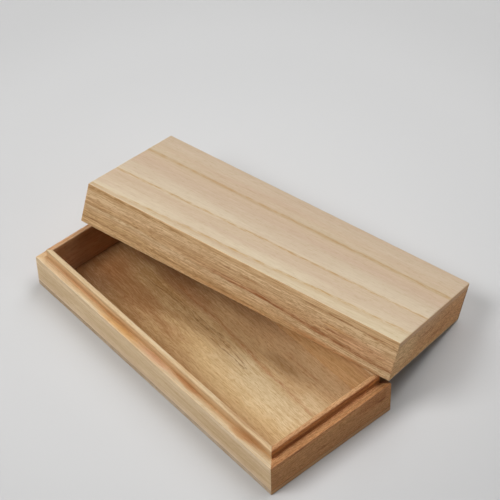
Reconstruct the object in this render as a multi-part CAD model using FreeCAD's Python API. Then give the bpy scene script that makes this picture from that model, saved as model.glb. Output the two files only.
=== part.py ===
import FreeCAD, Part
import math
import os

# Box for an ink stick and an ink stone: a rebated tray and a loose lid.
# Both are frames of four mitred boards closed by one flat board.
# Millimetres, +X along the box, +Y from its front to its back, +Z up.
# The origin is the centre of the tray's underside.

os.makedirs("parts", exist_ok=True)

Vector = FreeCAD.Vector

# outside of the closed box
box_length = 240.0
box_width = 102.0
tray_height = 26.5          # bench to the shoulder that the closed lid sits on
lid_height = 29.5

# boards
panel_thickness = 4.0       # the tray's bottom board and the lid's top board
shoulder_width = 5.5        # ledge that the lid's walls stand on
lip_thickness = 3.5         # upstand inside the shoulder
lip_height = 7.5
lid_play = 0.3              # between the closed lid's walls and the lip, all round

# sanded edges
arris_radius = 0.5          # outer edges of the tray and the lid
lip_radius = 0.8            # top edges of the lip

# the lid as it lies, turned across the tray and tipped back onto the bench
lid_turn = 15.8             # degrees, seen from above
perch_past_end = 2.5        # the lid's front right corner, past the tray's right end
perch_inside_back = 5.2     # the same corner, in from the tray's back face
rest_gap = 0.15             # air left where the lid rests

sides = ("front", "back", "left", "right")
half_length = box_length / 2
half_width = box_width / 2
wall_thickness = shoulder_width + lip_thickness
lid_wall_thickness = shoulder_width - lid_play
lip_top = tray_height + lip_height


def block(inset, low, high):
    """A block with the box's outline, moved in by inset on all four sides."""
    corner = Vector(inset - half_length, inset - half_width, low)
    return Part.makeBox(box_length - 2 * inset, box_width - 2 * inset, high - low, corner)


def edges_at(solid, height):
    """The edges of a solid that lie level at one height."""
    return [edge for edge in solid.Edges
            if all(abs(vertex.Point.z - height) < 1e-6 for vertex in edge.Vertexes)]


def mitre_wedge(side, low, high):
    """The part of the box's plan that one board lies in.

    The four mitre planes run in from the corners at 45 degrees and meet in pairs,
    as the hips of a roof do at the two ends of its ridge.
    """
    ridge = half_length - half_width
    outline = {
        "front": [(-half_length, -half_width), (half_length, -half_width), (ridge, 0), (-ridge, 0)],
        "right": [(half_length, -half_width), (half_length, half_width), (ridge, 0)],
        "back": [(half_length, half_width), (-half_length, half_width), (-ridge, 0), (ridge, 0)],
        "left": [(-half_length, half_width), (-half_length, -half_width), (-ridge, 0)],
    }[side]
    corners = [Vector(x, y, low) for x, y in outline]
    face = Part.Face(Part.makePolygon(corners + corners[:1]))
    return face.extrude(Vector(0, 0, high - low))


def mitred_boards(frame, low, high):
    """A four-sided frame, sawn into its four boards."""
    return {side: frame.common(mitre_wedge(side, low, high)) for side in sides}


def tray_boards():
    """A block with sanded edges, its lip fused on, hollowed and sawn into boards."""
    body = block(0, 0, tray_height)
    body = body.makeFillet(arris_radius, body.Edges)
    bottom = body.common(block(0, 0, panel_thickness))
    lip = block(shoulder_width, panel_thickness, lip_top).cut(
        block(wall_thickness, panel_thickness, lip_top))
    lip = lip.makeFillet(lip_radius, edges_at(lip, lip_top))
    frame = body.common(block(0, panel_thickness, tray_height))
    frame = frame.cut(block(wall_thickness, panel_thickness, tray_height))
    frame = frame.fuse(lip).removeSplitter()
    boards = mitred_boards(frame, panel_thickness, lip_top)
    nodes = {"tray_" + side + "_wall": board for side, board in boards.items()}
    nodes["tray_bottom"] = bottom
    return nodes


def lid_boards():
    """The lid, level, with the middle of its open underside at the origin."""
    underside = lid_height - panel_thickness
    body = block(0, 0, lid_height)
    body = body.makeFillet(arris_radius, body.Edges)
    top = body.common(block(0, underside, lid_height))
    frame = body.common(block(0, 0, underside))
    frame = frame.cut(block(lid_wall_thickness, 0, underside))
    boards = mitred_boards(frame, 0, underside)
    nodes = {"lid_" + side + "_wall": board for side, board in boards.items()}
    nodes["lid_top"] = top
    return nodes


def lid_axes(slope):
    """The lid's length, width and height directions on a plane of this slope along X and Y."""
    normal = Vector(-slope[0], -slope[1], 1).normalize()
    along = Vector(math.cos(math.radians(lid_turn)), math.sin(math.radians(lid_turn)), 0)
    along.z = slope[0] * along.x + slope[1] * along.y
    along.normalize()
    return along, normal.cross(along), normal


def way_out(start, direction, inset):
    """Where a line that starts over the tray crosses its outline, moved in by inset."""
    to_end = (math.copysign(half_length - inset, direction.x) - start.x) / direction.x
    to_side = (math.copysign(half_width - inset, direction.y) - start.y) / direction.y
    return start + direction * min(to_end, to_side)


def support(start, direction, foot, slope):
    """The upper edge of the tray that stands highest above the rim plane under one lid wall."""
    edges = []
    for inset, height in ((shoulder_width, lip_top), (0, tray_height)):
        point = way_out(start, direction, inset)
        edges.append(Vector(point.x, point.y, height) - foot)
    return max(edges, key=lambda edge: edge.z - slope[0] * edge.x - slope[1] * edge.y)


def lid_placement():
    """Lays the lid on three supports: the bench, and the tray's edges under two of its walls.

    Its front right corner is perched over the tray, and its back right corner is on the bench.
    Each pass finds where the inner rim of the left and the front wall leaves the tray,
    then tips the rim plane until it just touches the higher edge at both places.
    """
    slope = (0.0, 0.0)
    perch = Vector(half_length + perch_past_end, half_width - perch_inside_back, 0)
    for tipping in range(60):
        along, across, normal = lid_axes(slope)
        foot = perch + across * box_width
        foot.z = 0
        corner = foot - along * box_length - across * box_width
        left = support(corner + along * lid_wall_thickness, across, foot, slope)
        front = support(corner + across * lid_wall_thickness, along, foot, slope)
        spread = left.x * front.y - front.x * left.y
        slope = ((left.z * front.y - front.z * left.y) / spread,
                 (left.x * front.z - front.x * left.z) / spread)
    along, across, normal = lid_axes(slope)
    middle = foot + Vector(0, 0, rest_gap) - along * half_length - across * half_width
    print("the lid rests at", left + foot, front + foot, "and on the bench at", foot)
    return FreeCAD.Placement(FreeCAD.Matrix(along.x, across.x, normal.x, middle.x,
                                            along.y, across.y, normal.y, middle.y,
                                            along.z, across.z, normal.z, middle.z,
                                            0, 0, 0, 1))


nodes = tray_boards()
placement = lid_placement()
for name, board in lid_boards().items():
    board.Placement = placement.multiply(board.Placement)
    nodes[name] = board

for name, board in nodes.items():
    board.exportStep("parts/" + name + ".step")
    box = board.BoundBox
    print(name, len(board.Solids), "solid", round(board.Volume), "mm3",
          [round(value, 2) for value in (box.XMin, box.YMin, box.ZMin, box.XMax, box.YMax, box.ZMax)])
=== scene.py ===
import math

import bmesh
import bpy
from mathutils import Matrix, Vector, noise


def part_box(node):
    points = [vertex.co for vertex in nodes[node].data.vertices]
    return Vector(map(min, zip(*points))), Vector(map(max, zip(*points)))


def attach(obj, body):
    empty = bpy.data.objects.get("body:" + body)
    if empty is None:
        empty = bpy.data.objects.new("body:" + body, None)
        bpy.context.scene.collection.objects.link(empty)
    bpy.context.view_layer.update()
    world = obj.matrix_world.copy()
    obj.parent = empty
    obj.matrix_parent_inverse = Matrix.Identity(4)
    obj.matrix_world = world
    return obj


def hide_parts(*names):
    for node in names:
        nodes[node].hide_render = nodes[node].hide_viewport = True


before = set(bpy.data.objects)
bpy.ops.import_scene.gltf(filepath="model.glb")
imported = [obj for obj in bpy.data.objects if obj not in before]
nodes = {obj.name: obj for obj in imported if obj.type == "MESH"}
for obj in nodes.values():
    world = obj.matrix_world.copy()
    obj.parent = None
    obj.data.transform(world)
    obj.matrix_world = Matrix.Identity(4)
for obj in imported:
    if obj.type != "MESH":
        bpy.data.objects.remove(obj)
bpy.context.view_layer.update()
scene = bpy.context.scene
mm = 0.001


# node helpers, for geometry trees and shader trees alike

nodeGrid = {"perRow": 12, "across": 190, "down": 260}     # where new nodes go in the editor


def addNode(tree, kind, inputs=None, **settings):
    new = tree.nodes.new(kind)
    row, column = divmod(len(tree.nodes), nodeGrid["perRow"])
    new.location = (nodeGrid["across"] * column, -nodeGrid["down"] * row)
    for name, value in settings.items():
        setattr(new, name, value)
    for key, value in (inputs or {}).items():
        if isinstance(value, bpy.types.NodeSocket):
            tree.links.new(value, new.inputs[key])
        else:
            new.inputs[key].default_value = value
    return new


def sums(tree, operation, *values, clamp=False):
    return addNode(tree, "ShaderNodeMath", dict(enumerate(values)), operation=operation,
                   use_clamp=clamp).outputs[0]


def times(tree, first, second, clamp=False):
    return sums(tree, "MULTIPLY", first, second, clamp=clamp)


def vectorSum(tree, operation, first, second=(0, 0, 0), output="Vector"):
    node = addNode(tree, "ShaderNodeVectorMath", {0: first, 1: second}, operation=operation)
    return node.outputs[output]


def spread(tree, value, low, high, outLow=0.0, outHigh=1.0, kind="LINEAR"):
    return addNode(tree, "ShaderNodeMapRange", {0: value, 1: low, 2: high, 3: outLow, 4: outHigh},
                   interpolation_type=kind).outputs[0]


# a colour as it reads on the screen, 0 to 255, for all but the very darkest
def paint(red, green, blue):
    return tuple(((c / 255 + 0.055) / 1.055) ** 2.4 for c in (red, green, blue)) + (1.0,)


def grey(value):
    return (value, value, value, 1.0)


def blend(tree, amount, first, second, kind="MIX"):
    return addNode(tree, "ShaderNodeMix", {0: amount, 6: first, 7: second}, data_type="RGBA",
                   blend_type=kind).outputs[2]


# colours or greys at places in millimetres
def ramp(tree, value, stops, ease="EASE"):
    low, high = stops[0][0], stops[-1][0]
    node = addNode(tree, "ShaderNodeValToRGB", {0: spread(tree, value, low, high)})
    node.color_ramp.interpolation = ease
    elements = node.color_ramp.elements
    elements.remove(elements[1])
    for index, (place, colour) in enumerate(stops):
        at = (place - low) / (high - low)
        element = elements[0] if index == 0 else elements.new(at)
        element.position = at
        element.color = colour
    return node.outputs[0]


# where each board lies

# a flat board's own axes: along it, across it, up through it, from the directions its faces look in
def panelPlace(name):
    mesh = nodes[name].data
    areas = {}
    for face in mesh.polygons:
        direction = max(face.normal, -face.normal, key=lambda v: tuple(round(c, 3) for c in v))
        key = tuple(round(c, 2) for c in direction)
        total, mean = areas.get(key, (0.0, Vector()))
        areas[key] = (total + face.area, mean + direction * face.area)
    largest = sorted(areas.values(), key=lambda entry: -entry[0])[:3]
    up = largest[0][1].normalized()
    if up.z < 0:
        up = -up
    along = largest[2][1].normalized()
    if along.x < 0:
        along = -along
    across = up.cross(along).normalized()
    along = across.cross(up)
    size, middle = [], Vector()
    for axis in (along, across, up):
        reach = [axis.dot(vertex.co) for vertex in mesh.vertices]
        size.append(max(reach) - min(reach))
        middle += axis * (max(reach) + min(reach)) / 2
    return along, across, up, middle, size


# the same size in millimetres: length, width, thickness
def inMillimetres(size):
    return [round(side / mm, 2) for side in size]


def placeMatrix(along, second, third, origin):
    turn = Matrix((along, second, third)).transposed().to_4x4()
    return Matrix.Translation(origin) @ turn


# the four walls of a frame, counter-clockwise: each one's length runs along it with its outside
# face towards the third axis, and its origin is on that face, half way along its lower edge
def wallPlaces(along, across, up, foot, length, width):
    return {
        "front": placeMatrix(along, up, -across, foot - across * (width / 2)),
        "right": placeMatrix(across, up, along, foot + along * (length / 2)),
        "back": placeMatrix(-along, up, across, foot + across * (width / 2)),
        "left": placeMatrix(-across, up, -along, foot - along * (length / 2)),
    }


# where a camera or a lamp stands: azimuth 0 is in front of the box, 90 off its right end
def standPoint(azimuth, elevation, distance, target):
    a, e = math.radians(azimuth), math.radians(elevation)
    back = Vector((math.sin(a) * math.cos(e), -math.cos(a) * math.cos(e), math.sin(e)))
    return Vector(target) + back * distance, (-back).to_track_quat("-Z", "Y").to_matrix().to_4x4()


cameraPlan = {
    "azimuth": 50.452, "elevation": 46.798, "distance": 1.3617,
    "lookAt": (-0.0158, 0.05044, 0.04293),
    "roll": 1.886,      # degrees, the top of the frame leans to the right
    "lens": 148.1,      # mm on a 36 mm sensor
    "sensor": 36,
}


def makeCamera(plan):
    data = bpy.data.cameras.new("camera")
    data.lens = plan["lens"]
    data.sensor_width = plan["sensor"]
    camera = bpy.data.objects.new("camera", data)
    scene.collection.objects.link(camera)
    place, turn = standPoint(plan["azimuth"], plan["elevation"], plan["distance"], plan["lookAt"])
    roll = Matrix.Rotation(math.radians(-plan["roll"]), 4, "Z")
    camera.matrix_world = Matrix.Translation(place) @ turn @ roll
    scene.camera = camera


lampPlan = {
    "distance": 2.0, "size": 0.85, "lookAt": (0, 0.04, 0),
    "boxes": {      # light is what falls on a face turned to the lamp
        "keyBox": {"azimuth": -18, "elevation": 52, "light": 1.84},
        "topBox": {"azimuth": 150, "elevation": 72, "light": 1.02},
        "backBox": {"azimuth": 198, "elevation": 52, "light": 0.83},
        "lowBox": {"azimuth": -90, "elevation": 12, "light": 0.9},
        "rightBox": {"azimuth": 104, "elevation": 38, "light": 0.19},
    },
}


def makeLights(plan):
    for name, box in plan["boxes"].items():
        lamp = bpy.data.lights.new(name, "AREA")
        lamp.size = plan["size"]
        lamp.energy = box["light"] * math.pi * plan["distance"] ** 2
        holder = bpy.data.objects.new(name, lamp)
        scene.collection.objects.link(holder)
        place, turn = standPoint(box["azimuth"], box["elevation"], plan["distance"], plan["lookAt"])
        holder.matrix_world = Matrix.Translation(place) @ turn


benchLook = {
    "reach": 4.0,
    "underFoot": 0.002,     # how far inside the tray's foot the bench ends, so that the underside shows
    # painted pool of light: the bench's grey is palest at one point and darker further from it
    "paintedPoolMiddle": (-0.062, 0.074, 0),
    "paintedPoolGreys": [(0, 0.640), (100, 0.632), (200, 0.608), (300, 0.569), (400, 0.526)],     # mm from there
    "roughness": 0.9,
}


def makeBench(look):
    low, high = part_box("tray_bottom")
    inset = look["underFoot"]
    edges = ((-look["reach"], -look["reach"], look["reach"], look["reach"]),
             (low[0] + inset, low[1] + inset, high[0] - inset, high[1] - inset))
    corners = []
    for left, front, right, back in edges:
        corners += [(left, front, 0), (right, front, 0), (right, back, 0), (left, back, 0)]
    mesh = bpy.data.meshes.new("bench")
    mesh.from_pydata(corners, [], [(n, (n + 1) % 4, (n + 1) % 4 + 4, n + 4) for n in range(4)])
    bench = bpy.data.objects.new("bench", mesh)
    scene.collection.objects.link(bench)
    material = bpy.data.materials.new("benchPaper")
    material.use_nodes = True
    tree = material.node_tree
    shader = tree.nodes["Principled BSDF"]
    spot = addNode(tree, "ShaderNodeTexCoord").outputs["Object"]
    # painted pool of light: the grey darkens with the distance from its palest point
    far = sums(tree, "DIVIDE", vectorSum(tree, "DISTANCE", spot, look["paintedPoolMiddle"], "Value"), mm)
    paper = ramp(tree, far, [(place, grey(value)) for place, value in look["paintedPoolGreys"]])
    tree.links.new(paper, shader.inputs["Base Color"])
    shader.inputs["Roughness"].default_value = look["roughness"]
    shader.inputs["Specular IOR Level"].default_value = 0.0
    mesh.materials.append(material)


makeCamera(cameraPlan)
makeLights(lampPlan)
makeBench(benchLook)
print("camera, five soft boxes and the bench are in")


# raw paulownia, planed and lightly sanded

# a smooth curve through points given in millimetres
def pathCurve(tree, value, points):
    low, high = points[0][0], points[-1][0]
    floor = min(y for x, y in points) - 1
    roof = max(y for x, y in points) + 1
    node = addNode(tree, "ShaderNodeFloatCurve", {1: spread(tree, value, low, high)})
    curve = node.mapping.curves[0]
    while len(curve.points) < len(points):
        curve.points.new(0.5, 0.5)
    for spot, (x, y) in zip(curve.points, points):
        spot.location = ((x - low) / (high - low), (y - floor) / (roof - floor))
    node.mapping.update()
    return spread(tree, node.outputs[0], 0, 1, floor, roof)


# what each noise adds to its board's seed, its detail and its roughness
noisePlan = {
    "wander": (0, 1.0, 0.5), "ripple": (3, 1.0, 0.5), "cast": (7, 2.0, 0.5), "blotch": (11, 3.0, 0.65),
    "fray": (13, 3.0, 0.65), "streak": (17, 4.0, 0.65), "fibre": (23, 3.0, 0.7), "pore": (29, 1.0, 0.5),
    "speck": (31, 3.0, 0.7), "sideStreak": (37, 4.0, 0.65), "sideFibre": (41, 3.0, 0.7),
}


# noise stretched along the grain, by its name: the look has its size in millimetres, along and across
def grainNoise(tree, look, name, grain):
    lengthwise, crosswise = look[name + "Size"]
    shift, detail, rough = noisePlan[name]
    stretched = vectorSum(tree, "MULTIPLY", grain, (1 / lengthwise, 1 / crosswise, 1 / crosswise))
    return addNode(tree, "ShaderNodeTexNoise",
                   {"Vector": stretched, "W": look["seed"] + shift, "Scale": 1.0, "Detail": detail,
                    "Roughness": rough}, noise_dimensions="4D").outputs["Fac"]


# the same noise as a share, which rises between the two edges that the look has for it
def grainShare(tree, look, name, grain, low=0.0, high=1.0):
    return spread(tree, grainNoise(tree, look, name, grain), *look[name + "Edges"], low, high)


# one dark growth line along a path: it fades in over soft mm below it and ends over sharp mm above it
def growthLine(tree, across, along, line):
    offset = sums(tree, "SUBTRACT", across, pathCurve(tree, along, line["path"]))
    fading = spread(tree, offset, -line["soft"], 0, 0, 1, "SMOOTHSTEP")
    edge = spread(tree, offset, 0, line["sharp"], 1, 0, "SMOOTHSTEP")
    strong = ramp(tree, along, [(x, grey(value)) for x, value in line["strong"]])
    return times(tree, times(tree, fading, edge), strong)


def softSpot(tree, look, grain, frayed, middle, size, amount):
    offset = vectorSum(tree, "SUBTRACT", grain, (*middle, 0))
    offset = vectorSum(tree, "MULTIPLY", offset, (1 / size[0], 1 / size[1], 0))
    far = sums(tree, "ADD", vectorSum(tree, "LENGTH", offset, output="Value"), frayed)
    return spread(tree, far, *look["spotEdges"], amount, 0, "SMOOTHSTEP")


def tinted(colour, tint):
    return tuple(part * factor for part, factor in zip(colour, (*tint, 1.0)))


plainGrain = {
    "seed": 1.0,
    "tilt": -0.4,               # how far the growth rings lean through the thickness
    "drift": 0.0, "fan": 0.0,   # the rings' slope along the board, and how it changes across it
    "wander": 1.2, "wanderSize": (75, 16),      # mm that the rings stray, and over what length and width
    "ripple": 0.25, "rippleSize": (13, 3.5),    # the same at a short scale
    "sweeps": [],               # paths that bend the rings on a part of the board
    "bands": [(-60, 202, 168, 128), (60, 202, 168, 128)],       # ring, then red, green and blue there
    "tint": (1.0, 1.0, 1.0),    # a last touch on all of the bands
    "cast": paint(200, 150, 110), "casting": 0.25, "castSize": (70, 9), "castEdges": (0.42, 0.68),
    "spots": [],                # soft spots: (along, ring), half length and half width, colour, amount
    "spotEdges": (0.25, 1.1),   # where a spot begins to fade and where it is gone, as shares of its size
    "fray": 0.6, "fraySize": (20, 3.0), "frayEdges": (0, 1),    # how far the rim of a spot strays
    "lines": [],
    "uneven": 0.1,              # the least share of a growth line's colour, between its blotches
    "blotchSize": (15, 1.3), "blotchEdges": (0.38, 0.58),
    "streaky": 0.35, "streakSize": (60, 2.0), "streakEdges": (0.40, 0.66),
    "fibrous": 0.30, "fibreSize": (10, 1.1), "fibreEdges": (0.38, 0.66),
    "pores": 0.30, "poreSize": (4.5, 0.7), "poreEdges": (0.58, 0.68),
    "deep": (0.66, 0.52, 0.38, 1.0),            # what the darker fibres multiply the colour by
    "coarse": [(-120, 1.0), (120, 1.0)],        # how strong they are along the board
    # painted shade in the creases where a floor meets the end walls
    "creaseShade": None,                               # dark lines where a floor meets the end walls
    "sides": None,                              # the long edges of a flat board
    "sideStreaky": 0.5, "sideStreakSize": (26, 0.8), "sideStreakEdges": (0.40, 0.64),
    "sideFibrous": 0.6, "sideFibreSize": (20, 0.6), "sideFibreEdges": (0.44, 0.60),
    "halfLength": 999.0, "halfWidth": 999.0,    # mm, where a flat board's own edges are
    "sideEdge": (0.4, 0.1), "endEdge": (0.35, 0.1),     # mm inside an edge: where they start, where full
    "endColour": paint(176, 140, 100), "endSpecks": paint(160, 118, 72), "endAmount": 0.75,
    "speckSize": (0.5, 0.5), "speckEdges": (0.45, 0.7),
    "seamColour": paint(120, 76, 44), "seamDark": 0.5,
    # paler arrises: partly rubbed wear, partly painted highlight
    "arrisRubAndHighlightColour": paint(226, 200, 162), "arrisRubAndHighlight": 0.2,
    "roughness": 0.7, "streakRough": -0.08, "poreRough": 0.14,      # the last two are added where they lie
    "specular": 0.35,
    "relief": 0.05,                     # mm of height that one unit of depth stands for
    "depths": (0.5, 0.6, 0.8, 1.2),     # of streaks, fibres, pores and end specks
}


# the grain's own directions on a board, in millimetres: flow follows the drawn bands of colour,
# strayed is the plain ring height with the same wandering
def grainAxes(tree, look, place):
    textureSpace = addNode(tree, "ShaderNodeTexCoord").outputs["Object"]
    local = addNode(tree, "ShaderNodeMapping",
                    {"Vector": textureSpace, "Location": place.to_translation(),
                     "Rotation": place.to_euler(), "Scale": (mm, mm, mm)}, vector_type="TEXTURE").outputs[0]
    axes = addNode(tree, "ShaderNodeSeparateXYZ", {0: local}).outputs
    along, across, through = axes[0], axes[1], axes[2]
    ring = sums(tree, "MULTIPLY_ADD", through, look["tilt"], across)
    aside = sums(tree, "MULTIPLY_ADD", across, -look["tilt"], through)
    raw = addNode(tree, "ShaderNodeCombineXYZ", {0: along, 1: ring, 2: aside}).outputs[0]
    slope = sums(tree, "MULTIPLY_ADD", ring, look["fan"], look["drift"])
    straight = sums(tree, "SUBTRACT", ring, times(tree, along, slope))
    longStray = sums(tree, "SUBTRACT", grainNoise(tree, look, "wander", raw), 0.5)
    shortStray = sums(tree, "SUBTRACT", grainNoise(tree, look, "ripple", raw), 0.5)
    stray = sums(tree, "ADD", times(tree, longStray, 2 * look["wander"]),
                 times(tree, shortStray, 2 * look["ripple"]))
    for sweep in look["sweeps"]:
        amount = times(tree, pathCurve(tree, along, sweep["path"]),
                       spread(tree, across, *sweep["between"]))
        straight = sums(tree, "ADD", straight, amount)
    flow = sums(tree, "ADD", straight, stray)
    grain = addNode(tree, "ShaderNodeCombineXYZ", {0: along, 1: flow, 2: aside}).outputs[0]
    return {"local": local, "along": along, "across": across, "through": through, "raw": raw,
            "flow": flow, "strayed": sums(tree, "ADD", ring, stray), "grain": grain}


def bandsAndSpots(tree, look, at):
    grain = at["grain"]
    bands = [(ring, tinted(paint(*tone), look["tint"])) for ring, *tone in look["bands"]]
    colour = ramp(tree, at["flow"], bands)
    casting = grainShare(tree, look, "cast", grain)
    colour = blend(tree, times(tree, casting, look["casting"]), colour, look["cast"])
    frayed = grainShare(tree, look, "fray", grain, -look["fray"], look["fray"])
    for middle, size, tone, amount in look["spots"]:
        share = softSpot(tree, look, grain, frayed, middle, size, amount)
        colour = blend(tree, share, colour, paint(*tone))
    return colour


# a flat board's long edges have their own tone and streaks
def longEdges(tree, look, at, colour):
    sides, half = look["sides"], look["halfWidth"]
    start, full = look["sideEdge"]
    edge = spread(tree, sums(tree, "ABSOLUTE", at["across"]), half - start, half - full)
    streaks = grainShare(tree, look, "sideStreak", at["raw"], 0, look["sideStreaky"])
    fibres = grainShare(tree, look, "sideFibre", at["raw"], 0, look["sideFibrous"])
    dark = times(tree, sums(tree, "ADD", streaks, fibres), sides["streaky"], clamp=True)
    return blend(tree, edge, colour, blend(tree, dark, sides["colour"], sides["dark"]))


def growthLines(tree, look, at, colour):
    uneven = grainShare(tree, look, "blotch", at["grain"], look["uneven"])
    for line in look["lines"]:
        amount = growthLine(tree, at["strayed"], at["along"], line)
        amount = times(tree, amount, uneven, clamp=True)
        colour = blend(tree, amount, colour, line["colour"])
    return colour


# painted shade: a floor darkened along its creases with the end walls, on its upper side only
def creaseShadeLines(tree, creaseShade, at, colour):
    end, width = creaseShade["inside"], creaseShade["width"]
    creaseShading = ramp(tree, sums(tree, "ABSOLUTE", at["along"]),
                 [(end - width, grey(0)), (end, grey(creaseShade["amount"])), (end + width, grey(0))])
    sideways = spread(tree, sums(tree, "ABSOLUTE", at["across"]), *creaseShade["sideways"], 1, 0)
    above = spread(tree, at["through"], *creaseShade["above"])
    creaseShading = times(tree, times(tree, creaseShading, sideways), above)
    return blend(tree, creaseShading, colour, blend(tree, 1.0, colour, creaseShade["deep"], "MULTIPLY"))


def makeWood(name, place, changes):
    look = {**plainGrain, **changes}
    material = bpy.data.materials.new(name)
    material.use_nodes = True
    tree = material.node_tree
    shader = tree.nodes["Principled BSDF"]
    at = grainAxes(tree, look, place)
    colour = bandsAndSpots(tree, look, at)
    if look["sides"]:
        colour = longEdges(tree, look, at, colour)
    colour = growthLines(tree, look, at, colour)

    marks = ("streak", "fibre", "pore")
    streak, fibre, pore = [grainShare(tree, look, mark, at["grain"]) for mark in marks]
    dark = times(tree, fibre, look["fibrous"])
    dark = sums(tree, "MULTIPLY_ADD", streak, look["streaky"], dark)
    dark = sums(tree, "MULTIPLY_ADD", pore, look["pores"], dark)
    dark = times(tree, dark, pathCurve(tree, at["along"], look["coarse"]), clamp=True)
    colour = blend(tree, dark, colour, blend(tree, 1.0, colour, look["deep"], "MULTIPLY"))
    if look["creaseShade"]:
        colour = creaseShadeLines(tree, look["creaseShade"], at, colour)

    # end grain on a flat board's two sawn ends
    start, full = look["endEdge"]
    half = look["halfLength"]
    endGrain = spread(tree, sums(tree, "ABSOLUTE", at["along"]), half - start, half - full)
    speckle = grainNoise(tree, look, "speck", at["local"])
    endTone = blend(tree, spread(tree, speckle, *look["speckEdges"]), look["endColour"], look["endSpecks"])
    colour = blend(tree, times(tree, endGrain, look["endAmount"]), colour, endTone)

    # glue seams, and rubbed arrises with painted highlight, from what the mesh says
    for mark, tone, amount in (("seam", look["seamColour"], look["seamDark"]),
                               ("arris", look["arrisRubAndHighlightColour"], look["arrisRubAndHighlight"])):
        share = addNode(tree, "ShaderNodeAttribute", attribute_name=mark).outputs["Fac"]
        colour = blend(tree, times(tree, share, amount), colour, tone)
    tree.links.new(colour, shader.inputs["Base Color"])

    rough = sums(tree, "MULTIPLY_ADD", streak, look["streakRough"], look["roughness"])
    rough = sums(tree, "MULTIPLY_ADD", sums(tree, "MAXIMUM", endGrain, pore), look["poreRough"], rough)
    tree.links.new(rough, shader.inputs["Roughness"])
    endSpecks = times(tree, endGrain, speckle)
    height = 0.0
    for mark, depth in zip((streak, fibre, pore, endSpecks), look["depths"]):
        height = sums(tree, "MULTIPLY_ADD", mark, -depth, height)
    bump = addNode(tree, "ShaderNodeBump",
                   {"Height": height, "Strength": 1.0, "Distance": look["relief"] * mm})
    tree.links.new(bump.outputs[0], shader.inputs["Normal"])
    shader.inputs["Specular IOR Level"].default_value = look["specular"]
    return material


# mitred boards: one cross-section run between two 45 degree cuts

edgePlan = {
    "margin": 0.3,          # mm of flat kept beside an eased edge, so that it shades cleanly
    "rubPitch": 0.22,       # noise cells per mm along a rubbed arris
    "rubEdges": (0.4, 0.7),     # between these values of the noise the wear of a mitred board sets in
    "rubShift": 0.15,       # lifts the flat boards' noise, so that more than half of an arris is rubbed
    "cutBlend": (0.05, 0.55),       # mm from the mitre plane where its dark line ends
    "cutDark": 0.3,
}


# a cross-section's corners: (inwards, up, easing radius, arris, seam), with a support point
# close to each side of a corner
def sectionMesh(corners):
    points = []
    for index, (x, y, radius, arris, seam) in enumerate(corners):
        here = Vector((x, y, 0))
        before = Vector((*corners[index - 1][:2], 0))
        after = Vector((*corners[(index + 1) % len(corners)][:2], 0))
        reach = radius + edgePlan["margin"]
        points.append((here + (before - here).normalized() * reach, 0.0, 0.0, 0.0))
        points.append((here, radius, arris, seam))
        points.append((here + (after - here).normalized() * reach, 0.0, 0.0, 0.0))
    mesh = bpy.data.meshes.new("section")
    count = len(points)
    mesh.from_pydata([point[0] for point in points], [(n, (n + 1) % count) for n in range(count)], [])
    for slot, name in enumerate(("ease", "arris", "seam")):
        layer = mesh.attributes.new(name, "FLOAT", "POINT")
        layer.data.foreach_set("value", [point[slot + 1] for point in points])
    return mesh


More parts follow.
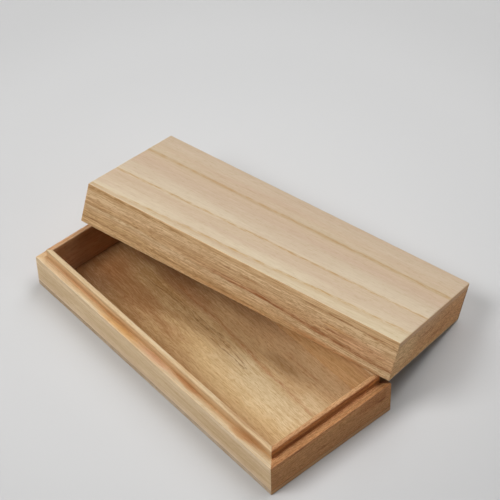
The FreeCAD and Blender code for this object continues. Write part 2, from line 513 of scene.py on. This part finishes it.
def mitredBoardTree():
    tree = bpy.data.node_groups.new("mitredBoard", "GeometryNodeTree")
    sockets = [("Section", "Geometry"), ("Length", "Float"), ("Start Corner", "Float"),
               ("End Corner", "Float"), ("Easing Steps", "Int"), ("Rings", "Int"),
               ("Groove Depth", "Float"), ("Groove Width", "Float"), ("Wear", "Float"),
               ("Seed", "Float"), ("Wood", "Material")]
    for name, kind in sockets:
        tree.interface.new_socket(name, in_out="INPUT", socket_type="NodeSocket" + kind)
    tree.interface.new_socket("Board", in_out="OUTPUT", socket_type="NodeSocketGeometry")
    given = addNode(tree, "NodeGroupInput").outputs

    def named(name, kind="FLOAT"):
        return addNode(tree, "GeometryNodeInputNamedAttribute", {"Name": name}, data_type=kind).outputs[0]

    def store(geometry, name, value, kind="FLOAT"):
        return addNode(tree, "GeometryNodeStoreNamedAttribute",
                       {"Geometry": geometry, "Name": name, "Value": value},
                       data_type=kind, domain="POINT").outputs[0]

    def parts(vector):
        return addNode(tree, "ShaderNodeSeparateXYZ", {0: vector}).outputs

    def position():
        return addNode(tree, "GeometryNodeInputPosition").outputs[0]

    section = addNode(tree, "GeometryNodeMeshToCurve", {0: given["Section"]}).outputs[0]
    section = addNode(tree, "GeometryNodeFilletCurve",
                      {"Curve": section, "Count": given["Easing Steps"], "Radius": named("ease"),
                       "Limit Radius": True}, mode="POLY").outputs[0]
    tangent = parts(addNode(tree, "GeometryNodeInputTangent").outputs[0])
    outwards = addNode(tree, "ShaderNodeCombineXYZ",
                       {0: times(tree, tangent[1], -1.0), 1: tangent[0]}).outputs[0]
    section = store(section, "outwards", outwards, "FLOAT_VECTOR")
    section = store(section, "onSection", position(), "FLOAT_VECTOR")
    rail = addNode(tree, "GeometryNodeCurvePrimitiveLine", {"Start": (0, 0, -1), "End": (0, 0, 1)})
    rail = addNode(tree, "GeometryNodeResampleCurve", {"Curve": rail.outputs[0], "Count": given["Rings"]})
    board = addNode(tree, "GeometryNodeCurveToMesh",
                    {"Curve": rail.outputs[0], "Profile Curve": section, "Fill Caps": True}).outputs[0]

    # run is the distance from the nearer end's nominal corner, with closer rings near the ends
    at = parts(position())[2]
    point = parts(named("onSection", "FLOAT_VECTOR"))
    facing = parts(named("outwards", "FLOAT_VECTOR"))
    half = times(tree, given["Length"], 0.5)
    closer = sums(tree, "MULTIPLY_ADD", times(tree, at, at), -0.5, 1.5)
    closer = times(tree, at, closer)
    run = times(tree, half, sums(tree, "SUBTRACT", 1.0, sums(tree, "ABSOLUTE", closer)))
    side = sums(tree, "SIGN", at)

    # the groove of the mitre line and the rubbed arrises
    groove = spread(tree, run, 0, given["Groove Width"], 1, 0)
    groove = times(tree, given["Groove Depth"], groove)
    cells = times(tree, closer, times(tree, half, edgePlan["rubPitch"]))
    rubSpot = addNode(tree, "ShaderNodeCombineXYZ", {0: cells, 1: point[0], 2: point[1]}).outputs[0]
    rubbed = addNode(tree, "ShaderNodeTexNoise",
                     {"Vector": rubSpot, "W": given["Seed"], "Scale": 1.0, "Detail": 2.0},
                     noise_dimensions="4D").outputs["Fac"]
    rubbed = spread(tree, rubbed, *edgePlan["rubEdges"])
    wear = times(tree, times(tree, rubbed, named("arris")), given["Wear"])
    push = sums(tree, "ADD", groove, wear)
    depth = sums(tree, "SUBTRACT", point[0], times(tree, facing[0], push))
    rise = sums(tree, "SUBTRACT", point[1], times(tree, facing[1], push))

    # the outer upright corner, rounded, and the mitre plane, where run equals depth
    startCorner, endCorner = given["Start Corner"], given["End Corner"]
    radius = sums(tree, "MULTIPLY_ADD", sums(tree, "GREATER_THAN", at, 0.0),
                  sums(tree, "SUBTRACT", endCorner, startCorner), startCorner)
    ball = sums(tree, "MAXIMUM", sums(tree, "SUBTRACT", radius, depth), 0.0)
    least = sums(tree, "MULTIPLY_ADD", ball, -math.sqrt(0.5), radius)
    lean = times(tree, depth, sums(tree, "SUBTRACT", 1.0, sums(tree, "DIVIDE", run, half)))
    run = sums(tree, "MAXIMUM", sums(tree, "ADD", run, lean), least)
    short = sums(tree, "MAXIMUM", sums(tree, "SUBTRACT", radius, run), 0.0)
    ball, short = times(tree, ball, ball), times(tree, short, short)
    inside = sums(tree, "SUBTRACT", ball, short)
    curved = sums(tree, "SUBTRACT", radius, sums(tree, "SQRT", sums(tree, "MAXIMUM", inside, 0.0)))
    depth = sums(tree, "MAXIMUM", depth, curved)
    run = sums(tree, "MAXIMUM", run, depth)
    placed = addNode(tree, "ShaderNodeCombineXYZ",
                     {0: times(tree, side, sums(tree, "SUBTRACT", half, run)),
                      1: rise, 2: times(tree, depth, -1.0)}).outputs[0]
    cut = spread(tree, sums(tree, "SUBTRACT", run, depth), *edgePlan["cutBlend"], edgePlan["cutDark"], 0)
    board = store(board, "seam", sums(tree, "MAXIMUM", named("seam"), cut))
    board = addNode(tree, "GeometryNodeSetPosition", {"Geometry": board, "Position": placed}).outputs[0]
    for name in ("outwards", "onSection", "ease"):
        board = addNode(tree, "GeometryNodeRemoveAttribute", {"Geometry": board, "Name": name}).outputs[0]
    board = addNode(tree, "GeometryNodeRealizeInstances", {0: board}).outputs[0]
    board = addNode(tree, "GeometryNodeSetMaterial", {"Geometry": board, "Material": given["Wood"]})
    addNode(tree, "NodeGroupOutput", {0: board.outputs[0]})
    return tree


def finishMesh(mesh, matrix, name, sharpAngle=32):
    mesh.transform(matrix)
    shape = bmesh.new()
    shape.from_mesh(mesh)
    bmesh.ops.recalc_face_normals(shape, faces=shape.faces)
    shape.to_mesh(mesh)
    shape.free()
    mesh.shade_smooth()
    mesh.set_sharp_from_angle(angle=math.radians(sharpAngle))
    mesh.name = name
    piece = bpy.data.objects.new(name, mesh)
    scene.collection.objects.link(piece)
    return piece


def makeMitredBoard(name, tree, plan, length, corners, place, wood, seed):
    holder = bpy.data.objects.new(name + "Section", sectionMesh(plan["section"]))
    scene.collection.objects.link(holder)
    modifier = holder.modifiers.new("board", "NODES")
    modifier.node_group = tree
    values = {"Length": length, "Start Corner": corners[0], "End Corner": corners[1],
              "Easing Steps": plan["easingSteps"], "Rings": plan["rings"],
              "Groove Depth": plan["grooveDepth"], "Groove Width": plan["grooveWidth"],
              "Wear": plan["wear"], "Seed": seed, "Wood": wood}
    for item in tree.interface.items_tree:
        if item.name in values:
            modifier[item.identifier] = values[item.name]
    holder.data.materials.append(wood)
    evaluated = holder.evaluated_get(bpy.context.evaluated_depsgraph_get())
    mesh = bpy.data.meshes.new_from_object(evaluated)
    holder.modifiers.remove(modifier)
    bpy.data.objects.remove(holder)
    return finishMesh(mesh, place @ Matrix.Scale(mm, 4), name)


def woodName(board):
    return "paulownia" + board[0].upper() + board[1:]


# the four walls of the tray or of the lid, each with the node that it stands for and its slot
def makeWalls(body, tree, plan, woods, places, size):
    walls = []
    for side, place in places.items():
        board = body + side.title()
        length, slot = size[1], "_end_board"
        if side in ("front", "back"):
            length, slot = size[0], "_long_board"
        wood = makeWood(woodName(board), place, woods[side])
        wall = makeMitredBoard(board + "Board", tree, plan, length, plan["corners"][side], place, wood,
                               woods[side]["seed"])
        walls.append((wall, body + "_" + side + "_wall", body + slot))
    return walls


# flat boards: rings of a rounded outline stacked from one face to the other

flatBoard = {
    "cornerSteps": 6, "spacing": 4.0,       # steps round a corner, mm between points on a straight edge
    "leastCorner": 0.02,                    # mm of radius that is left at the innermost ring
    "easingSteps": 6,
    "seamStrip": 1.5, "seamRest": 0.4,      # mm over which the seam fades, its share on the glued face
    "seamBend": 0.3, "seamTop": 0.9,        # where the eased glued edge bends, the seam's share above it
    "seamRise": 0.35, "faceRing": 0.4, "faceInset": 4,      # mm
}


def outline(length, width, corners, inset):
    steps = flatBoard["cornerSteps"]
    points = []
    signs = ((1, 1), (-1, 1), (-1, -1), (1, -1))
    for quarter, (sx, sy) in enumerate(signs):
        reach = max(corners[quarter], inset + flatBoard["leastCorner"])
        for step in range(steps + 1):
            angle = math.radians(90 * (quarter + step / steps))
            points.append(Vector((sx * (length / 2 - reach) + math.cos(angle) * (reach - inset),
                                  sy * (width / 2 - reach) + math.sin(angle) * (reach - inset), 0)))
    dense = []
    for index, point in enumerate(points):
        following = points[(index + 1) % len(points)]
        dense.append(point)
        if index % (steps + 1) == steps:
            side = width if index // (steps + 1) % 2 else length
            cuts = int(side / flatBoard["spacing"])
            dense += [point.lerp(following, (n + 1) / (cuts + 1)) for n in range(cuts)]
    return dense


# inset, height, arris and seam of each ring, from the glued face to the eased one
def panelRings(plan, thickness):
    radius, seamEase, margin = plan["easing"], plan["seamEase"], edgePlan["margin"]
    bend = seamEase * flatBoard["seamBend"]
    rings = [
        (flatBoard["seamStrip"], 0, 0, flatBoard["seamRest"]),
        (seamEase + margin, 0, 0, 1),
        (seamEase, 0, 0, 1),
        (bend, bend, 0, 1),
        (0, seamEase, 0, flatBoard["seamTop"]),
        (0, seamEase + flatBoard["seamRise"], 0, 0),
        (0, thickness - radius - margin, 0, 0),
    ]
    for step in range(flatBoard["easingSteps"] + 1):
        angle = math.radians(90 * step / flatBoard["easingSteps"])
        rings.append((radius * (1 - math.cos(angle)), thickness - radius * (1 - math.sin(angle)),
                      math.sin(2 * angle), 0))
    rings.append((radius + flatBoard["faceRing"], thickness, 0, 0))
    rings.append((radius + flatBoard["faceInset"], thickness, 0, 0))
    return rings


def makePanel(name, plan, size, place, wood):
    length, width, thickness = size
    pitch = edgePlan["rubPitch"]
    shape = bmesh.new()
    arrisLayer = shape.verts.layers.float.new("arris")
    seamLayer = shape.verts.layers.float.new("seam")
    loops = []
    for inset, height, arris, seam in panelRings(plan, thickness):
        loop = []
        for point in outline(length, width, plan["corners"], inset):
            rubSpot = Vector((point.x * pitch, point.y * pitch, plan["wood"]["seed"]))
            rub = max(0.0, noise.noise(rubSpot) + edgePlan["rubShift"])
            push = rub * plan["wear"] * arris
            spot = Vector((point.x, point.y, height - thickness / 2 - push))
            spot.xy -= point.xy.normalized() * push
            vertex = shape.verts.new(spot)
            vertex[arrisLayer] = arris
            vertex[seamLayer] = seam
            loop.append(vertex)
        loops.append(loop)
    for lower, upper in zip(loops, loops[1:]):
        count = len(lower)
        for n in range(count):
            shape.faces.new((lower[n], lower[(n + 1) % count], upper[(n + 1) % count], upper[n]))
    shape.faces.new(loops[0][::-1])
    shape.faces.new(loops[-1])
    mesh = bpy.data.meshes.new(name)
    shape.to_mesh(mesh)
    shape.free()
    mesh.materials.append(wood)
    flip = Matrix.Identity(4) if plan["easedFace"] == "up" else Matrix.Rotation(math.pi, 4, "X")
    return finishMesh(mesh, place @ Matrix.Scale(mm, 4) @ flip, name)


# a flat board, with the node that it stands for and its slot
def makeFlatBoard(board, node, plan, size, place):
    edges = {"halfLength": size[0] / 2, "halfWidth": size[1] / 2}
    wood = makeWood(woodName(board), place, {**plan["wood"], **edges})
    return makePanel(board + "Board", plan, size, place, wood), node, node + "_board"


boardTree = mitredBoardTree()
print("tree for the mitred boards made")


# the tray

trayWall = {"thickness": 9, "shoulderHeight": 22.5, "lipHeight": 30, "lipInset": 5.5}

trayPlan = {
    "section": [
        (0, 0, 0.12, 0, 1),
        (0, trayWall["shoulderHeight"], 0.5, 1, 0),
        (trayWall["lipInset"], trayWall["shoulderHeight"], 0.15, 0, 0),
        (trayWall["lipInset"], trayWall["lipHeight"], 0.8, 1, 0),
        (trayWall["thickness"], trayWall["lipHeight"], 0.8, 1, 0),
        (trayWall["thickness"], 0, 0.1, 0, 1),
    ],
    "easingSteps": 5, "rings": 150,
    "grooveDepth": 0.09, "grooveWidth": 0.35, "wear": 0.12,     # mm
    "corners": dict.fromkeys(("front", "right", "back", "left"), (0.5, 0.5)),
}

trayWoods = {
    "front": {
        "seed": 2.0, "tilt": -1.0, "tint": (1.02, 1.04, 1.06),
        "wander": 1.8, "ripple": 0.4, "drift": 0.006,
        "bands": [(0, 243, 219, 190), (3, 238, 212, 177), (9, 232, 205, 166), (14, 231, 203, 164),
                  (18, 237, 212, 175), (21, 241, 214, 176), (22.5, 230, 204, 169), (23.5, 222, 203, 173),
                  (25, 229, 204, 166), (26.5, 226, 193, 149), (27.5, 232, 193, 144), (28.5, 224, 176, 123),
                  (30, 217, 171, 121), (32, 231, 189, 139), (34, 229, 185, 135), (35.5, 220, 188, 146),
                  (37, 217, 193, 156), (39, 212, 188, 152)],
        "cast": paint(206, 172, 130), "casting": 0.4, "castSize": (60, 4),
        "spots": [
            ((-36, 28.8), (28, 4.0), (206, 150, 92), 0.6),
            ((-31, 25.0), (28, 3.2), (226, 172, 100), 0.75),
            ((-40, 20.8), (24, 2.0), (248, 226, 198), 0.5),
            ((-99, 25.6), (24, 4.0), (230, 200, 164), 0.6),
            ((4, 25.5), (22, 3.4), (222, 164, 124), 0.65),
            ((34, 28), (20, 3.6), (204, 140, 82), 0.65),
            ((86, 26), (12, 3.0), (210, 158, 104), 0.7),
            ((98, 30), (16, 4.6), (196, 136, 80), 0.65),
            ((-80, 30), (30, 3.0), (214, 164, 120), 0.5),
            ((28, 38.5), (20, 2.4), (208, 166, 116), 0.6),
            ((86, 38), (34, 2.6), (190, 150, 106), 0.9),
            ((84, 8), (64, 9), (212, 178, 132), 0.5),
            ((88, 20.4), (50, 2.4), (246, 226, 198), 0.6),
            ((-108, 11), (28, 14), (218, 190, 150), 0.45),
        ],
        "streaky": 0.48, "fibrous": 0.5, "pores": 0.45, "seamDark": 0.35,
        "deep": (0.76, 0.68, 0.56, 1.0),
    },
    "right": {
        "tilt": -1.0, "seed": 5.0, "wander": 1.4, "ripple": 0.4,
        "bands": [(0, 214, 154, 98), (5, 209, 156, 100), (12, 212, 157, 100), (18, 221, 168, 108),
                  (20.5, 224, 164, 104), (22.5, 204, 146, 94), (25, 202, 151, 100), (26.5, 224, 167, 113),
                  # the dark band at ring 30, low on the lip face just above the shoulder, is painted shade
                  (27.6, 230, 163, 108), (28.6, 209, 140, 77), (30, 175, 109, 48), (32, 217, 143, 73),
                  (34, 228, 139, 64), (35.2, 212, 143, 86), (36.5, 219, 172, 125), (39, 216, 172, 122)],
        "cast": paint(186, 130, 82), "casting": 0.35,
        "spots": [
            ((42.5, 12.9), (5.5, 1.3), (106, 54, 18), 0.95),
            ((38, 16), (24, 8), (190, 122, 66), 0.7),
            ((-28, 20.8), (9, 1.0), (172, 96, 48), 0.8),
            ((-8, 7.6), (10, 1.2), (176, 114, 66), 0.6),
            # painted shade along the foot of the lip
            ((-24, 29.5), (22, 2.0), (150, 86, 40), 0.6),
            ((22, 28.3), (28, 2.2), (232, 168, 116), 0.85),
            ((22, 31.2), (28, 1.8), (166, 98, 46), 0.6),
            ((24, 33.8), (24, 1.2), (160, 86, 36), 0.6),
        ],
        "streaky": 0.4, "streakSize": (36, 1.1),
        "fibrous": 0.8, "fibreSize": (4.5, 0.55), "fibreEdges": (0.44, 0.60),
        "pores": 1.1, "poreSize": (2.0, 0.6),
        "deep": (0.58, 0.46, 0.34, 1.0), "relief": 0.07, "arrisRubAndHighlight": 0.05,
    },
    "back": {
        "tilt": -0.6, "seed": 8.0,
        "bands": [(0, 232, 200, 152), (16, 230, 198, 150), (25, 226, 192, 144), (30, 218, 180, 134),
                  (39, 214, 176, 130)],
        # painted shadow: the dark spot at the right end of the shoulder, under the lid's corner
        "spots": [((-117, 25), (7, 5), (96, 56, 34), 0.9)],
        "cast": paint(222, 176, 124), "streaky": 0.5, "fibrous": 0.7, "pores": 0.6,
    },
    "left": {
        "tilt": -0.6, "seed": 12.0,
        "bands": [(0, 192, 153, 115), (16, 188, 146, 108), (30, 173, 129, 89), (39, 230, 185, 140)],
        "cast": paint(196, 146, 116), "casting": 0.4,
        "spots": [((48, 25), (9, 8), (232, 204, 160), 0.8)],
        "streaky": 0.35, "streakSize": (50, 1.6), "fibrous": 0.5, "pores": 0.5,
    },
}

trayBottom = {
    "corners": (0.5, 0.5, 0.5, 0.5),
    "easing": 0.5, "seamEase": 0.12, "wear": 0.12, "easedFace": "down",
    "wood": {
        "seed": 21.0, "tilt": 0.3, "drift": -0.03, "wander": 2.0, "ripple": 1.5,
        "tint": (1.25, 1.34, 1.38),
        "sides": {"colour": paint(217, 196, 171), "dark": paint(172, 136, 92), "streaky": 0.0},
        "endColour": paint(200, 150, 104),
        "bands": [(-51, 208, 168, 122), (-28, 199, 155, 107), (-20, 214, 178, 130), (-12, 220, 188, 140),
                  (4, 208, 172, 124), (18, 206, 168, 122), (34, 208, 168, 124), (51, 204, 164, 122)],
        "cast": paint(190, 148, 100), "casting": 0.3, "castSize": (45, 7),
        "spots": [
            # the pale spots on the right half are partly painted light, where light pools on the floor; the
            # dark ones at the left end are partly painted shade from the left wall and the lid
            ((62, -10), (70, 16), (240, 212, 160), 0.65),
            ((60, 2), (68, 18), (242, 222, 180), 0.9),
            ((84, 28), (54, 20), (228, 197, 152), 0.7),
            ((68, 39), (54, 10), (234, 206, 162), 0.7),
            ((88, 17), (18, 9), (246, 224, 180), 0.85),
            ((-98, -8), (24, 40), (184, 128, 84), 0.6),
            ((-70, -12), (70, 16), (184, 126, 74), 0.68),
            ((-52, 18), (50, 11), (164, 106, 64), 0.5),
            ((-56, 7), (28, 6), (204, 158, 92), 0.4),
            ((-96, -36), (60, 8), (166, 112, 68), 0.7),
            ((50, 24), (22, 7), (180, 144, 98), 0.5),
            ((-12, -18), (22, 20), (186, 134, 82), 0.2),
            ((-90, -26), (22, 12), (216, 180, 146), 0.3),
        ],
        "lines": [
            {"soft": 5.0, "sharp": 3.0, "colour": paint(150, 112, 66),
             "path": [(-111, 6), (-60, 7.5), (0, 8), (40, 7)],
             "strong": [(-90, 0), (-70, 0.2), (-20, 0.35), (25, 0.3), (40, 0)]},
            {"soft": 0.8, "sharp": 0.8, "colour": paint(150, 108, 60),
             "path": [(-80, 3.0), (-50, 3.4), (-20, 2.4), (3, 2.9), (34, 2.2)],
             "strong": [(-80, 0), (-62, 0.4), (-20, 0.5), (33, 0.9), (35, 0)]},
            {"soft": 0.8, "sharp": 0.8, "colour": paint(148, 106, 60),
             "path": [(-88, 7.2), (-70, 4.8), (-50, 7.0), (-20, 6.6), (10, 6.6), (26, 4.9), (35, 3.2)],
             "strong": [(-88, 0), (-72, 0.6), (-20, 0.6), (34, 0.8), (36, 0)]},
            {"soft": 0.8, "sharp": 1.0, "colour": paint(150, 110, 64),
             "path": [(-76, 9.8), (-40, 9.0), (0, 9.0), (20, 9.4)],
             "strong": [(-76, 0), (-60, 0.5), (0, 0.5), (20, 0)]},
            {"soft": 2.6, "sharp": 2.6, "colour": paint(196, 134, 84),
             "path": [(-60, 18.4), (-49, 17.6), (0, 15.4), (30, 13.2), (95, 9.4)],
             "strong": [(-60, 0), (-45, 0.6), (40, 0.75), (90, 0.6), (105, 0.3)]},
            {"soft": 1.6, "sharp": 1.8, "colour": paint(196, 140, 90),
             "path": [(30, 32.5), (60, 31), (100, 28.5)],
             "strong": [(30, 0), (50, 0.45), (90, 0.45), (104, 0)]},
        ],
        "blotchSize": (4, 0.8), "blotchEdges": (0.42, 0.56),
        # dark fibres stronger towards the left end: partly painted shade of the left wall
        "coarse": [(-111, 2.05), (-40, 1.42), (30, 1.0), (111, 1.0)],
        "streaky": 0.42, "streakSize": (36, 1.4), "streakEdges": (0.42, 0.64),
        "fibrous": 0.65, "fibreSize": (9, 0.55), "fibreEdges": (0.45, 0.60),
        "pores": 0.50, "poreSize": (3.5, 0.55), "poreEdges": (0.57, 0.65),
        "deep": (0.70, 0.60, 0.47, 1.0),
        # painted shade along the creases at the end walls
        "creaseShade": {"inside": 111, "width": 3, "amount": 0.8,      # mm from the middle to each end wall
                 "sideways": (44, 46), "above": (1, 1.9),       # mm where it fades: across, up through
                 "deep": (0.55, 0.42, 0.32, 1.0)},
    },
}

along, across, up, middle, size = panelPlace("tray_bottom")
boardSize = inMillimetres(size)
trayPlaces = wallPlaces(along, across, up, middle + up * size[2] / 2, size[0], size[1])
trayPieces = makeWalls("tray", boardTree, trayPlan, trayWoods, trayPlaces, boardSize)
trayPieces.append(makeFlatBoard("trayBottom", "tray_bottom", trayBottom, boardSize,
                                placeMatrix(along, across, up, middle)))
print("tray boards made")


# the lid

lidWall = {"thickness": 5.2, "height": 25.5}

lidPlan = {
    "section": [
        (0, 0, 0.5, 1, 0),
        (0, lidWall["height"], 0.12, 0, 0.7),
        (lidWall["thickness"], lidWall["height"], 0.1, 0, 1),
        (lidWall["thickness"], 0, 0.35, 1, 0),
    ],
    "easingSteps": 5, "rings": 150,
    "grooveDepth": 0.05, "grooveWidth": 0.35, "wear": 0.12,     # mm
    "corners": {"front": (0.9, 0.6), "right": (0.6, 0.6), "back": (0.6, 1.0), "left": (1.0, 0.9)},
}

lidWoods = {
    "front": {
        "seed": 31.0, "tilt": -0.5, "tint": (0.985, 1.02, 1.09), "wander": 0.4, "ripple": 0.1,
        "sweeps": [{"path": [(-120, 0), (-85, 0), (-60, 2.6), (0, 4.9), (20, 4.9), (30, 5.7), (60, 8.1),
                             (90, 9.7), (120, 10.3)],
                    "between": (30, 5, 0, 1)}],
        "bands": [(-6, 244, 204, 148), (4, 243, 203, 148), (8, 238, 198, 142), (11.5, 246, 208, 156),
                  (13, 249, 216, 167), (14.4, 250, 219, 170), (15.8, 244, 206, 154), (18, 240, 200, 148),
                  (22, 244, 208, 158), (25, 250, 216, 166), (30, 242, 204, 152)],
        "cast": paint(220, 174, 122), "castSize": (50, 3),
        "spots": [
            ((95, 20), (40, 3.6), (236, 186, 142), 0.6),
            ((75, 21.6), (14, 1.3), (224, 176, 118), 0.7),
            ((10, 22.0), (12, 0.6), (196, 142, 84), 0.6),
            ((-8, 22.4), (4, 0.6), (186, 124, 76), 0.6),
            ((74, 19.6), (10, 0.6), (184, 124, 76), 0.9),
            ((0, 5.8), (60, 2.6), (230, 180, 124), 0.6),
            ((82, 9.8), (48, 3.4), (222, 164, 108), 0.8),
            ((106, 28.3), (24, 2.4), (218, 170, 120), 0.6),
            ((-104, 27.6), (22, 2.6), (224, 180, 124), 0.6),
        ],
        "lines": [
            {"soft": 2.0, "sharp": 2.6, "colour": paint(196, 146, 88),
             "path": [(-120, 15.4), (-85, 15.8), (-70, 15.3), (-58, 13.9), (-40, 13.6)],
             "strong": [(-120, 0.8), (-78, 0.8), (-66, 0.5), (-50, 0)]},
            {"soft": 1.9, "sharp": 4.0, "colour": paint(180, 112, 62),
             "path": [(-60, 13.8), (-25, 12.9), (0, 12.2), (20, 12.0), (30, 11.4), (50, 10.0), (60, 9.0),
                      (80, 7.5), (95, 6.7), (120, 6.0)],
             "strong": [(-60, 0), (-30, 0.25), (-8, 0.9), (20, 1.0), (45, 0.85), (60, 1.0), (80, 0.8),
                        (120, 0.85)]},
            {"soft": 1.2, "sharp": 1.4, "colour": paint(186, 132, 74),
             "path": [(-120, 5.9), (-80, 5.0), (-40, 3.9), (0, 3.2), (10, 2.7), (25, 2.0)],
             "strong": [(-120, 0.9), (-90, 0.7), (-60, 0.5), (0, 0.6), (12, 0.5), (28, 0)]},
            {"soft": 1.5, "sharp": 1.5, "colour": paint(188, 134, 80),
             "path": [(40, 25.3), (60, 25.1), (80, 24.6), (92, 24.3), (108, 23.8), (120, 23.3)],
             "strong": [(40, 0), (60, 0.7), (80, 1.0), (92, 0.6), (105, 1.0), (120, 0.9)]},
        ],
        "uneven": 0.2, "blotchSize": (12, 0.7), "blotchEdges": (0.36, 0.58),
        "streaky": 0.64, "streakSize": (100, 1.0), "streakEdges": (0.40, 0.64),
        "fibrous": 0.8, "fibreSize": (17, 0.5), "fibreEdges": (0.46, 0.60),
        "pores": 0.95, "poreSize": (3.6, 0.5), "poreEdges": (0.56, 0.64),
        "deep": (0.64, 0.53, 0.43, 1.0), "seamDark": 0.0,
    },
    "right": {
        "tilt": -0.5, "seed": 35.0,
        # painted highlight: the palest band at ring 0, along the lower edge
        "bands": [(0, 239, 198, 143), (3, 239, 190, 127), (6, 229, 176, 118), (14, 230, 177, 121),
                  (21, 230, 181, 131), (30, 232, 187, 139)],
        "cast": paint(204, 158, 104), "casting": 0.4,
        "spots": [
            ((-40, 18), (24, 16), (252, 214, 158), 0.8),
            ((36, 14), (40, 22), (232, 172, 110), 0.6),
            # painted shade: the dark column along the far upright corner, which turns away from the light
            ((51, 15), (3.0, 40), (150, 98, 56), 0.8),
            ((-42, 13), (7, 1.4), (206, 138, 78), 0.7),
            ((-6, 16.5), (8, 1.4), (206, 142, 82), 0.7),
            ((22, 17.5), (10, 1.5), (196, 132, 74), 0.7),
            ((14, 8), (14, 1.6), (200, 134, 76), 0.6),
        ],
        "streaky": 0.5, "streakSize": (36, 1.1),
        "fibrous": 0.85, "fibreSize": (4.5, 0.6), "fibreEdges": (0.44, 0.60),
        "pores": 1.2, "poreSize": (2.0, 0.6),
        # strong arris paling: painted highlight along the lower edge
        "deep": (0.60, 0.49, 0.37, 1.0), "arrisRubAndHighlight": 0.8, "seamDark": 0.1,
    },
    "back": {
        "tilt": -0.5, "seed": 38.0,
        "bands": [(0, 226, 192, 144), (7, 220, 182, 134), (12, 226, 190, 142), (19, 220, 184, 138),
                  (30, 224, 190, 146)],
        "streaky": 0.5, "streakSize": (60, 1.3),
        "fibrous": 0.6, "fibreEdges": (0.44, 0.62), "pores": 0.5,
        "deep": (0.66, 0.56, 0.45, 1.0),
    },
    "left": {
        "tilt": -0.5, "seed": 41.0,
        "bands": [(0, 220, 182, 136), (9, 214, 174, 128), (18, 220, 182, 136), (30, 216, 178, 132)],
        "streaky": 0.5, "streakSize": (36, 1.3),
        "fibrous": 0.7, "fibreEdges": (0.44, 0.62), "pores": 0.6,
        "deep": (0.64, 0.53, 0.42, 1.0),
    },
}

lidTop = {
    "corners": (0.6, 1.0, 0.9, 0.6),
    "easing": 0.5, "seamEase": 0.12, "wear": 0.12, "easedFace": "up",
    "wood": {
        "seed": 51.0, "tilt": 0.35, "drift": 0.020, "fan": -0.00068, "wander": 0.9, "ripple": 0.65,
        "tint": (1.005, 1.015, 1.02),
        "sides": {"colour": paint(246, 212, 164), "dark": paint(188, 142, 92), "streaky": 1.0},
        "endColour": paint(226, 178, 132), "seamDark": 0.0,
        "bands": [(-51, 218, 200, 168), (-47, 217, 198, 167), (-43, 211, 189, 156), (-40, 221, 204, 176),
                  (-35, 218, 200, 173), (-28, 213, 192, 165), (-18, 209, 186, 158), (-13.5, 218, 200, 173),
                  (-8, 215, 197, 172), (-2, 211, 192, 166), (8, 206, 182, 157), (18, 207, 183, 156),
                  (22.5, 199, 176, 144), (26, 208, 188, 160), (33, 206, 183, 156), (40, 207, 186, 161),
                  (51, 202, 180, 154)],
        "cast": paint(203, 173, 150), "casting": 0.4, "castSize": (90, 8),
        "lines": [
            {"soft": 3.0, "sharp": 1.5, "colour": paint(194, 156, 102),
             "path": [(-120, -46.6), (0, -40.6), (120, -34.8)],
             "strong": [(-120, 0.6), (-60, 0.9), (0, 1.0), (60, 1.0), (120, 0.8)]},
            {"soft": 3.0, "sharp": 1.8, "colour": paint(192, 154, 104),
             "path": [(-120, -17.0), (0, -14.0), (120, -11.0)],
             "strong": [(-120, 0.8), (-50, 1.0), (-36, 0.6), (-28, 1.0), (60, 1.0), (90, 0.8), (120, 0.9)]},
            {"soft": 3.2, "sharp": 2.0, "colour": paint(190, 154, 106),
             "path": [(-120, 22.6), (0, 23.0), (120, 23.4)],
             "strong": [(-120, 0.9), (-60, 1.0), (0, 0.9), (60, 1.0), (120, 0.9)]},
            {"soft": 1.2, "sharp": 0.7, "colour": paint(176, 130, 76),
             "path": [(-120, -50.6), (-60, -51.0), (-20, -52.4)],
             "strong": [(-120, 1.0), (-60, 0.8), (-20, 0)]},
        ],
        "uneven": 0.15, "blotchSize": (7, 1.0), "blotchEdges": (0.42, 0.57),
        "streaky": 0.22, "streakSize": (60, 1.9),
        "deep": (0.77, 0.69, 0.58, 1.0),
    },
}

along, across, up, middle, size = panelPlace("lid_top")
boardSize = inMillimetres(size)
rim = middle - up * (size[2] / 2 + lidWall["height"] * mm)
lidPlaces = wallPlaces(along, across, up, rim, size[0], size[1])
lidPieces = makeWalls("lid", boardTree, lidPlan, lidWoods, lidPlaces, boardSize)
lidPieces.append(makeFlatBoard("lidTop", "lid_top", lidTop, boardSize,
                               placeMatrix(along, across, up, middle)))
print("lid boards made")


# every board rides on its body and stands for its node

for body, pieces in (("tray", trayPieces), ("lid", lidPieces)):
    for piece, node, slot in pieces:
        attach(piece, body)
        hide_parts(node)
        print(piece.name, "rides on", body, "-", len(piece.data.polygons), "faces")

scene.world = bpy.data.worlds.new("studio")
scene.view_settings.view_transform = "Standard"
